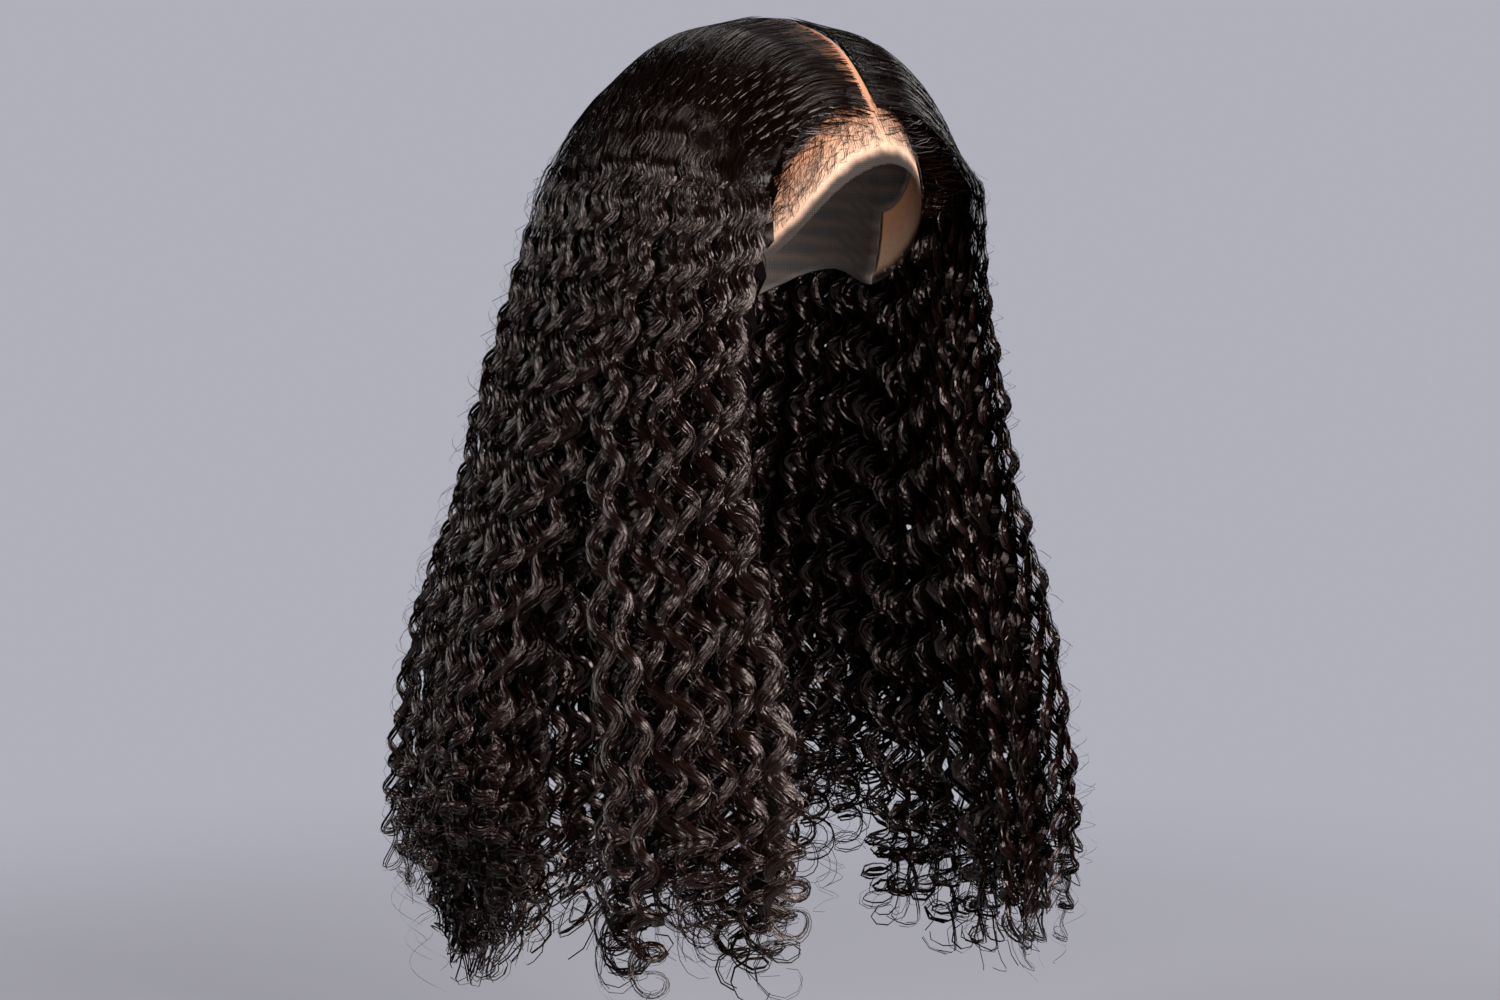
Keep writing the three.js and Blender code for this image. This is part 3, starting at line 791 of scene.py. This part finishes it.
def curl_lock(ribbons, rng, panel, layer, slot, count, start):
    """Adds one lock: strands side by side on the head that gather into a waved band and end in rings."""
    hair = bpy.context.scene.wig_hair
    strands = layer["strands"] + layer["loose"]
    each = for_each(rng, strands)
    is_loose = (np.arange(strands) >= layer["strands"])[:, None]
    leaves, ends = (lerp(*panel[key], slot) for key in ("leaves", "ends"))
    spans = [(panel[key][1] - panel[key][0]) / count for key in ("leaves", "ends")]
    outward = layer["outward"] + rng.uniform(-0.1, 0.05)
    shorter = panel["layered"] * smooth(outward, 0.4, 1)
    tip = lerp(*panel["tips"], slot) + rng.uniform(-22, 30) * MM + shorter
    progress, line, turns = lock_line(rng, panel, layer, leaves, ends, tip, outward)
    length = line[-1]
    distance = line * (1 - layer["cut"]) * (1 - each(0, 1) ** 2 * 0.14)
    run = distance + layer["sewn"] * HEAD_RUN
    at = np.interp(distance, line, progress)
    across = rng.permutation((np.arange(strands) + rng.uniform(0.1, 0.9, strands)) / strands - 0.5)[:, None]
    apart, _ = path_points(
        at, leaves + across * spans[0] * 1.3, ends + across * spans[1], tip, outward, layer["sewn"])
    middle, out = path_points(at, leaves, ends, tip, outward, layer["sewn"])
    down = unit(np.gradient(middle, axis=1))
    side = unit(np.cross(down, out))
    near_end = smooth(length - distance, *RINGED)
    phase = 2 * np.pi * np.interp(distance, line, turns) + start
    loose, kept = each(-1.4, 1.4), rng.normal(0, 0.1, (strands, 1))
    phase = phase + np.where(is_loose, loose, kept)
    phase = phase + near_end * rng.normal(0, 0.5, (3, 1))[rng.integers(0, 3, strands)]
    size = hair.radius * rng.uniform(0.85, 1.15) * smooth(run, *WAVES_GROW) * (1 + RING_GROWTH * near_end)
    size = size * (1 + 0.15 * np.sin(distance / 0.07 + rng.uniform(0, 6)))
    size = size * np.where(is_loose, each(0.7, 1.5), 1)
    deep = rng.choice([-1, 1]) * LEAN * np.sin(phase) - BULGE * np.cos(2 * phase)
    ring = rng.uniform(0.7, 1.2) * near_end * np.sin(phase)
    swing = side * np.cos(phase)[..., None] + out * deep[..., None] + down * ring[..., None]
    wander = rng.uniform(-1, 1, 4)
    sway = SWAY * smooth(run, *SWAYS)
    aside = sway * wander[0] * np.sin(distance / 0.09 + 6 * wander[1])
    outside = 0.5 * sway * wander[2] * np.sin(distance / 0.11 + 6 * wander[3])
    moved = swing * size[..., None] + side * aside[..., None] + out * outside[..., None]
    curled = smooth(run, *CURLED)
    way = unit(np.gradient(middle + moved, axis=1))
    turned = curled[..., None] * lerp(0.5, 0.2, smooth(outward, 0.6, 0.9))
    flat = unit(np.cross(way, unit(lerp(out, unit(swing), turned))))
    facing = np.cross(flat, way)
    band = layer["band"] * MM * rng.uniform(0.8, 1.2) * (1 - 0.45 * near_end) * across
    raised = BAND_RAISED * (1 - 4 * across**2) + 0 * band
    gathered = middle + flat * band[..., None] + facing * raised[..., None]
    gather = smooth(run, *GATHERED) * np.where(is_loose, 0.6, 1)
    points = lerp(apart, gathered, gather[..., None]) + moved
    thin = (1 - 0.65 * smooth(line, length - TAPER, length)) * lerp(0.6, 1, curled)
    width = hair.strand * layer["width"] * each(0.6, 1.25) * np.where(is_loose, 0.4, 1)
    tilt = -1.5 * across * gather + rng.normal(0, 0.4, (strands, 1)) * lerp(0.3, 1, curled)
    # Each strand's tone: a random share times the layer's painted light, which paints deeper layers darker
    # as shade.
    ribbons.add(points, facing, width * thin, tilt, layer["painted_light"] * rng.uniform(0.35, 1, strands))


def dress_hair(ribbons, name, material):
    """Makes a mesh of strands that rides on the wig."""
    made = ribbons.build(name, material)
    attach(made, "root")
    return made


class WIG_OT_curls(bpy.types.Operator):
    """Makes the panels of curled hair, from the parting and the sewn rows down to their ends"""

    bl_idname = "wig.curls"
    bl_label = "Curled hair"

    def execute(self, context):
        hair = context.scene.wig_hair
        finishes = {
            "outer": hair_finish("curled_hair", hair.gloss, 0.32),
            "inner": hair_finish("inner_hair", hair.gloss, 0.1)}
        rng = np.random.default_rng(hair.seed)
        for panel in PANELS:
            phases = rng.normal(0, 0.42, 2 * panel["locks"]).cumsum()
            for group, material in finishes.items():
                ribbons = Ribbons()
                for number, layer in enumerate(LAYERS):
                    if layer["group"] != group:
                        continue
                    count = round(panel["locks"] * layer["locks"])
                    between = 0.25 + 0.5 * (number % 2)
                    slots = (np.arange(count) + between + rng.uniform(-0.2, 0.2, count)) / count
                    # Layers painted fully dark, as painted shade, fill only the part of the panel's width
                    # given by filled.
                    if layer["painted_light"] == 0:
                        slots = np.interp(slots, [0, 1], panel["filled"])
                    for index, slot in enumerate(slots):
                        start = phases[2 * index + number % 2] + 1.9 * (number // 2)
                        curl_lock(ribbons, rng, panel, layer, slot, count, start)
                if group == "outer" and "edge" in panel:
                    # Locks at inner places along a free edge, painted nearly full light: painted light on
                    # the edge.
                    for place in EDGE_PLACES:
                        layer = {**LAYERS[1], "outward": place, "painted_light": EDGE_PAINTED_LIGHT}
                        start = 6 * rng.uniform()
                        curl_lock(ribbons, rng, panel, layer, panel["edge"], panel["locks"], start)
                made = dress_hair(ribbons, panel["node"].replace("hair", f"curls_{group}"), material)
                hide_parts(panel["node"])
        return {"FINISHED"}


class WIG_OT_combed_hair(bpy.types.Operator):
    """Makes the fine combed strands on the head, with waves that grow away from the parting"""

    bl_idname = "wig.combed_hair"
    bl_label = "Combed hair"

    def execute(self, context):
        hair = context.scene.wig_hair
        rng = np.random.default_rng(hair.seed + 1)
        ribbons = Ribbons()
        clumps, strands, steps = 104, 6, 28
        each = for_each(rng, clumps, strands)
        across = np.tile(np.linspace(-0.5, 0.5, strands), clumps)[:, None]
        for first, last in ((GROWTH_FIRST, 176), (184, 360 - GROWTH_FIRST)):
            apart = (last - first) / clumps
            angle = np.repeat(np.linspace(first, last, clumps), strands)[:, None] + apart * each(-0.4, 0.4)
            angle = np.clip(angle + apart * across, first, last)
            start = each(0, 0.4) ** 1.5 + rng.uniform(0, 0.06, across.shape)
            progress = start + np.linspace(0, 1, steps) * each(0.45, 0.85)
            points, out = path_points(progress, angle, angle, COMBED_AIM, 1.0, 0.0)
            wave = np.sin(2 * np.pi * path_length(points) / COMBED_WAVE[0] + 0.2 * angle + each(0, 1.6))
            wave = wave * COMBED_WAVE[1] * smooth(progress, 0.2, 1.0)
            sunk = COMBED_SINKS * smooth(progress, 0.6, 1.1)
            above = 0.6 * MM + each(0, 0.8) * MM - 1.2 * MM * across**2 - sunk
            points = points + sideways(points, out) * wave[..., None] + out * above[..., None]
            ends = 1 - 0.8 * np.abs(np.linspace(-1, 1, steps)) ** 4
            width = hair.strand * 0.45 * rng.uniform(0.6, 1.2, across.shape) * ends
            tilt = -1.3 * across + rng.normal(0, 0.1, across.shape)
            ribbons.add(points, out, width, tilt, rng.uniform(0.1, 0.6, len(across)))
        dress_hair(ribbons, "combed_hair", hair_finish("combed_hair", hair.gloss + 0.06, 0.28))
        return {"FINISHED"}


class WIG_OT_hairline(bpy.types.Operator):
    """Makes the strands that grow out of the lace and bend back into the combed hair"""

    bl_idname = "wig.hairline"
    bl_label = "Hairline"

    def execute(self, context):
        hair = context.scene.wig_hair
        rng = np.random.default_rng(hair.seed + 3)
        ribbons = Ribbons()
        count, steps = 460, 20
        each = for_each(rng, count)
        along_hair = np.linspace(0, 1, steps)
        for side in (1, -1):
            angle = side * (GROWTH_FIRST + each(0, 9))
            start = each(0.04, 0.9)
            progress = start + along_hair * np.minimum(each(0.25, 0.5), 1.0 - start)
            points, out = path_points(progress, angle, angle, COMBED_AIM, each(0.6, 1), 0.0)
            first = (points[:, 0] - HEAD_CENTRE) / HEAD_SIZES
            turn = np.degrees(np.arctan2(-first[:, 0], -first[:, 1]))
            tilt = np.arctan2(np.hypot(first[:, 0], first[:, 1]), first[:, 2])
            down = rng.uniform(0, 1, count) ** 1.5 * ROOTED_LOWER / HEAD_MIDDLE
            root = head_point(turn - side * rng.uniform(0, 7, count), tilt + down, CLEARANCE)
            run = path_length(points)
            bend = 1 - smooth(run, 0, HAIRLINE_BEND)
            points = points + (root - points[:, 0])[:, None] * bend[..., None]
            wave = np.sin(2 * np.pi * run / HAIRLINE_WAVE[0] + each(0, 6))
            wave = wave * HAIRLINE_WAVE[1] * smooth(run, 5 * MM, 50 * MM)
            points = points + sideways(points, out) * wave[..., None]
            width = HAIRLINE_WIDTH * each(0.6, 1.2) * (1 - 0.6 * along_hair**4)
            ribbons.add(points, out, width, rng.normal(0, 0.3, (count, 1)), rng.uniform(0.2, 0.8, count))
        dress_hair(ribbons, "hairline_hair", hair_finish("hairline_hair", hair.gloss, 0.3))
        return {"FINISHED"}


class WIG_OT_baby_hairs(bpy.types.Operator):
    """Makes the short hairs that cross each other on the lace"""

    bl_idname = "wig.baby_hairs"
    bl_label = "Baby hairs"

    def execute(self, context):
        hair = context.scene.wig_hair
        rng = np.random.default_rng(hair.seed + 2)
        ribbons = Ribbons()
        count, steps = context.scene.wig_lace.baby_hairs, 18
        each = for_each(rng, count)
        along_hair = np.linspace(0, 1, steps)
        for side in (1, -1):
            root = np.linspace(*BABY_ANGLES, count)[:, None] + each(-1, 1)
            inside = lerp(*BABY_INSIDE, np.mod(np.arange(count) * 0.618, 1))[:, None] * MM
            length = np.minimum(each(*BABY_LENGTHS) * MM, inside - 8 * MM)
            lean = np.where(each(0, 1) < 0.5, 1, -1) * each(0.35, 0.9)
            height = each(*BABY_WAVE[1]) * MM
            wave = height * np.sin(2 * np.pi * (along_hair * length / BABY_WAVE[0] + each(0, 1)))
            down = length * along_hair * np.cos(lean) + wave * np.sin(lean)
            aside = length * along_hair * np.sin(lean) - wave * np.cos(lean)
            angle = np.clip(root + np.degrees(aside / HEAD_MIDDLE), 1, 80)
            tilt = head_tilt(rim_height(angle)) - (inside - down) / HEAD_MIDDLE
            lift = each(1.1, 1.6) * MM + 0.5 * MM * along_hair
            points = head_point(side * angle, tilt, lift)
            out = unit(head_point(side * angle, tilt, lift + MM) - points)
            width = BABY_WIDTH * each(0.7, 1.2) * (1 - 0.6 * along_hair**3)
            ribbons.add(points, out, width, rng.normal(0, 0.3, (count, 1)), rng.uniform(0.2, 0.8, count))
        dress_hair(ribbons, "baby_hairs", hair_finish("baby_hairs", hair.gloss, 0.3))
        return {"FINISHED"}


class WIG_OT_flyaways(bpy.types.Operator):
    """Makes the thin single hairs that stand off the curls"""

    bl_idname = "wig.flyaways"
    bl_label = "Flyaway hairs"

    def execute(self, context):
        hair = context.scene.wig_hair
        rng = np.random.default_rng(hair.seed + 4)
        ribbons = Ribbons()
        steps = 30
        for panel in PANELS:
            count = FLYAWAYS_A_LOCK * panel["locks"]
            each = for_each(rng, count)
            slot = each(0, 1)
            leaves, ends = lerp(*panel["leaves"], slot), lerp(*panel["ends"], slot)
            start = each(0.75, 1.8)
            progress = np.minimum(start + np.linspace(0, 1, steps) * each(0.12, 0.3), 2)
            points, out = path_points(progress, leaves, ends, min(panel["tips"]), 1.0, 0.0)
            side = sideways(points, out)
            run = path_length(points)
            phase = 2 * np.pi * run / (each(*FLYAWAY_WAVES) * MM) + each(0, 6)
            size = each(*FLYAWAY_HEIGHTS) * MM * smooth(progress, 0.75, 1.25)
            points = points + side * (size * np.cos(phase))[..., None]
            points = points + out * (size * 0.9 * np.sin(phase))[..., None]
            width = np.broadcast_to(FLYAWAY_WIDTH * each(0.7, 1.2), run.shape)
            ribbons.add(points, out, width, rng.normal(0, 0.5, (count, 1)), rng.uniform(0.5, 1, count))
        dress_hair(ribbons, "flyaway_hairs", hair_finish("flyaway_hairs", hair.gloss, 0.3))
        return {"FINISHED"}


class WIG_OT_stage(bpy.types.Operator):
    """Makes the pale floor, the soft light and the camera"""

    bl_idname = "wig.stage"
    bl_label = "Stage"

    def execute(self, context):
        stage = context.scene.wig_stage
        context.scene.view_settings.view_transform = "Standard"
        self.floor(stage)
        back = Vector((
            math.sin(stage.azimuth) * math.cos(stage.elevation),
            -math.cos(stage.azimuth) * math.cos(stage.elevation),
            math.sin(stage.elevation)))
        right = Vector((math.cos(stage.azimuth), math.sin(stage.azimuth), 0))
        aim = right * stage.aim_right + Vector((0, 0, stage.aim_height))
        lens = bpy.data.cameras.new("camera")
        lens.lens, lens.sensor_width = stage.lens, FILM_WIDTH
        camera = bpy.data.objects.new("camera", lens)
        camera.location = aim + back * stage.distance
        camera.rotation_euler = back.to_track_quat("Z", "Y").to_euler()
        context.scene.collection.objects.link(camera)
        context.scene.camera = camera
        level = Vector((back.x, back.y, 0)).normalized()
        up = Vector((0, 0, 1))
        for name, (near, aside, above, size, power) in LIGHTS.items():
            self.soft_light(name, aim, level * near + right * aside + up * above, size, power)
        self.room(stage)
        return {"FINISHED"}

    def soft_light(self, name, aim, offset, size, power):
        """A square soft box that looks at the wig."""
        lamp = bpy.data.lights.new(name, "AREA")
        lamp.size, lamp.energy = size, power
        made = bpy.data.objects.new(name, lamp)
        made.location = aim + offset
        made.rotation_euler = offset.to_track_quat("Z", "Y").to_euler()
        bpy.context.scene.collection.objects.link(made)

    def room(self, stage):
        """A pale room: what the camera sees of it is bright, and it lights the wig only a little."""
        world = bpy.data.worlds.new("pale_room")
        shading = Shading(world)
        background = shading.nodes["Background"]
        shading.feed(background.inputs["Color"], (*stage.backdrop, 1))
        seen = Socket(shading, background.outputs["Background"])
        lit = shading.add("ShaderNodeBackground", {}, {"Color": ROOM_TINT, "Strength": stage.room_light})
        by_camera = shading.add("ShaderNodeLightPath", output="Is Camera Ray")
        mixed = shading.add("ShaderNodeMixShader", {}, {"Fac": by_camera, 1: lit, 2: seen})
        shading.feed(shading.nodes["World Output"].inputs["Surface"], mixed)
        bpy.context.scene.world = world

    def floor(self, stage):
        """A round floor that fades into the room, so that no edge of it shows."""
        radius, turn = np.linspace(0.001, FLOOR_RADIUS, 40), np.linspace(0, 2 * np.pi, 97)[:-1]
        points = np.stack(np.broadcast_arrays(
            radius[:, None] * np.cos(turn), radius[:, None] * np.sin(turn), stage.drop), -1)
        made = mesh_object("floor", points.reshape(-1, 3), ring_quads(*points.shape[:2]), floor_finish())
        store(made, "radius", np.linalg.norm(points[..., :2], axis=-1))


OPERATORS = (
    WIG_OT_stage, WIG_OT_lace_front, WIG_OT_weft_cap, WIG_OT_curls, WIG_OT_combed_hair, WIG_OT_hairline,
    WIG_OT_baby_hairs, WIG_OT_flyaways)


class VIEW3D_PT_wig(bpy.types.Panel):
    """Lists the wig's pieces and settings"""

    bl_label = "Curly lace-front wig"
    bl_idname = "VIEW3D_PT_wig"
    bl_space_type = "VIEW_3D"
    bl_region_type = "UI"
    bl_category = "Wig"

    def draw(self, context):
        for name, group in SETTINGS.items():
            column = self.layout.column(align=True)
            for setting in group.__annotations__:
                column.prop(getattr(context.scene, name), setting)
        for operator in OPERATORS:
            self.layout.operator(operator.bl_idname)


def register():
    for group in (*SETTINGS.values(), *OPERATORS, VIEW3D_PT_wig):
        bpy.utils.register_class(group)
    for name, group in SETTINGS.items():
        setattr(bpy.types.Scene, name, PointerProperty(type=group))


def unregister():
    for name in SETTINGS:
        delattr(bpy.types.Scene, name)
    for group in reversed((*SETTINGS.values(), *OPERATORS, VIEW3D_PT_wig)):
        bpy.utils.unregister_class(group)


def main():
    """Builds every piece in order."""
    register()
    bpy.ops.wig.stage()
    bpy.ops.wig.lace_front()
    bpy.ops.wig.weft_cap()
    bpy.ops.wig.curls()
    bpy.ops.wig.combed_hair()
    bpy.ops.wig.hairline()
    bpy.ops.wig.baby_hairs()
    bpy.ops.wig.flyaways()


if __name__ == "__main__":
    main()
